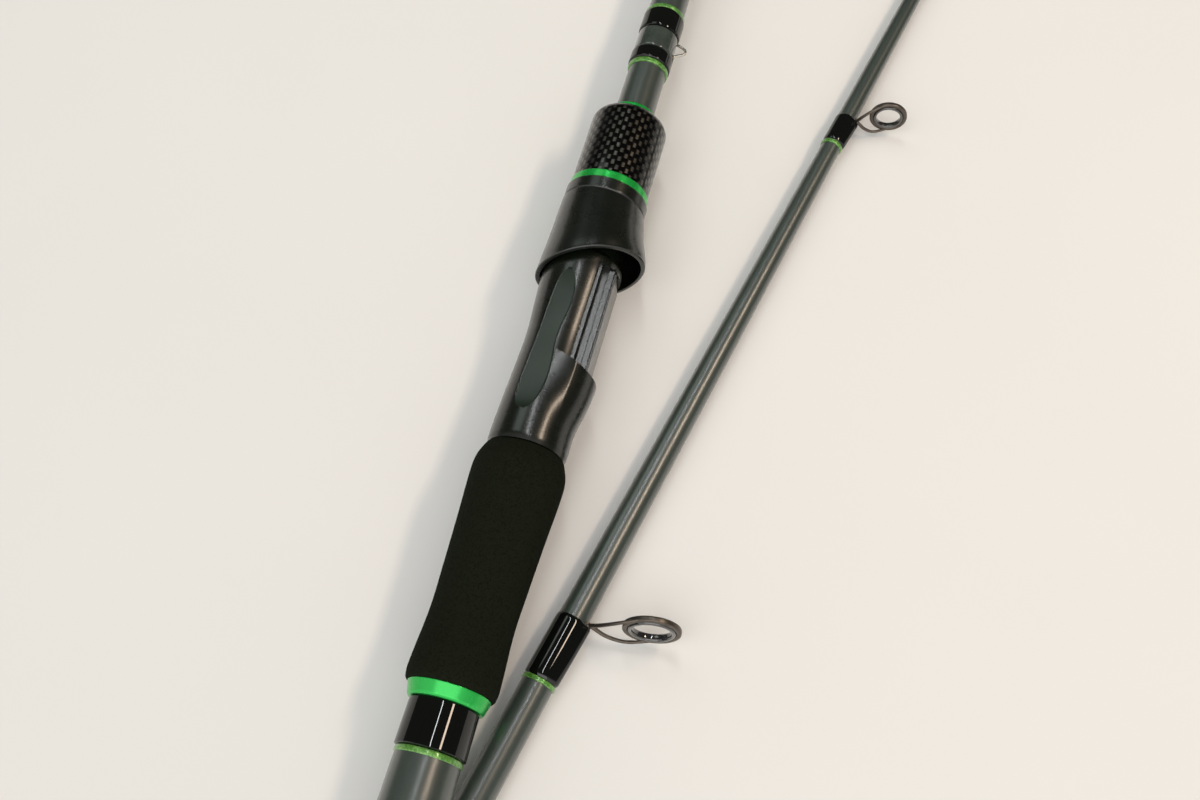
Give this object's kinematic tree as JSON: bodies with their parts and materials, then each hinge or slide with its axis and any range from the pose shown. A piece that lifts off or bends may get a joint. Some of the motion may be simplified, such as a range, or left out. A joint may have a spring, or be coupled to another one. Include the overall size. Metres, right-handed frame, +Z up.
{
  "type": "spinning rod",
  "caption": "Two-piece spinning fishing rod, taken apart: tapered hollow blanks, foam grips, reel seat with a screw-driven sliding hood, hook keeper, ring guides and a ferrule joint.",
  "frame": {"origin": "centre of the butt's flat end face, on the butt section's axis", "axes": "+Y along the butt section from the butt to its ferrule, +Z up from the table, +X on the side of the reel and guides"},
  "size_m": [0.2574, 1.1885, 0.0366],
  "materials": {
    "guide_frame": "satin",
    "ceramic": "gloss",
    "green_thread": "gloss",
    "green_aluminium": "satin",
    "black_winding": "gloss",
    "foam": "matte",
    "cap_rubber": "matte",
    "blank": "satin",
    "clear_resin": "gloss",
    "carbon_weave": "gloss",
    "arbor": "matte",
    "seat_plastic": "satin"
  },
  "bodies": {
    "butt_section": {"butt_cap": "cap_rubber", "butt_grip": "foam", "butt_grip_ring": "green_aluminium", "butt_blank": "blank", "rear_trim_band": "green_thread", "rear_winding": "black_winding", "rear_grip_ring": "green_aluminium", "rear_grip": "foam", "reel_seat_body": "seat_plastic", "seat_arbors": "arbor", "hook_keeper": "guide_frame", "keeper_windings": "black_winding", "keeper_trim_bands": "green_thread", "keeper_coat": "clear_resin", "male_ferrule_winding": "black_winding", "male_ferrule_band": "green_thread", "stripper_1_frame": "guide_frame", "stripper_2_frame": "guide_frame", "stripper_1_ring": "ceramic", "stripper_2_ring": "ceramic", "stripper_windings": "black_winding", "stripper_trim_bands": "green_thread"},
    "hood": {"moving_hood": "seat_plastic"},
    "nut": {"lock_nut": "seat_plastic", "nut_trim_ring": "green_aluminium", "carbon_sleeve": "carbon_weave", "nose_ring": "green_aluminium"},
    "tip_section": {"tip_blank": "blank", "female_ferrule_winding": "black_winding", "female_ferrule_band": "green_thread", "tip_top_frame": "guide_frame", "tip_top_ring": "ceramic", "tip_top_winding": "black_winding", "tip_guide_1_frame": "guide_frame", "tip_guide_2_frame": "guide_frame", "tip_guide_3_frame": "guide_frame", "tip_guide_4_frame": "guide_frame", "tip_guide_5_frame": "guide_frame", "tip_guide_6_frame": "guide_frame", "tip_guide_7_frame": "guide_frame", "tip_guide_1_ring": "ceramic", "tip_guide_2_ring": "ceramic", "tip_guide_3_ring": "ceramic", "tip_guide_4_ring": "ceramic", "tip_guide_5_ring": "ceramic", "tip_guide_6_ring": "ceramic", "tip_guide_7_ring": "ceramic", "tip_guide_windings": "black_winding", "tip_guide_trim_bands": "green_thread"}
  },
  "joints": [
    {"name": "hood_slide", "type": "slide", "parent": "butt_section", "child": "hood", "axis": [0, 1, 0], "range_m": [-0.00501, 0.01251]},
    {"name": "nut_turn", "type": "hinge", "parent": "hood", "child": "nut", "pos_m": [0, 0.38, 0], "axis": [0, 1, 0], "range_deg": [-720, 1800]},
    {"name": "tip_section_slide", "type": "slide", "parent": "butt_section", "child": "tip_section", "axis": [0.2159, 0.9764, 0], "range_m": [0, 0.3]}
  ],
  "couplings": [
    {"joint": "hood_slide", "follows": "nut_turn", "m_per_rad": 0.00039789}
  ]
}
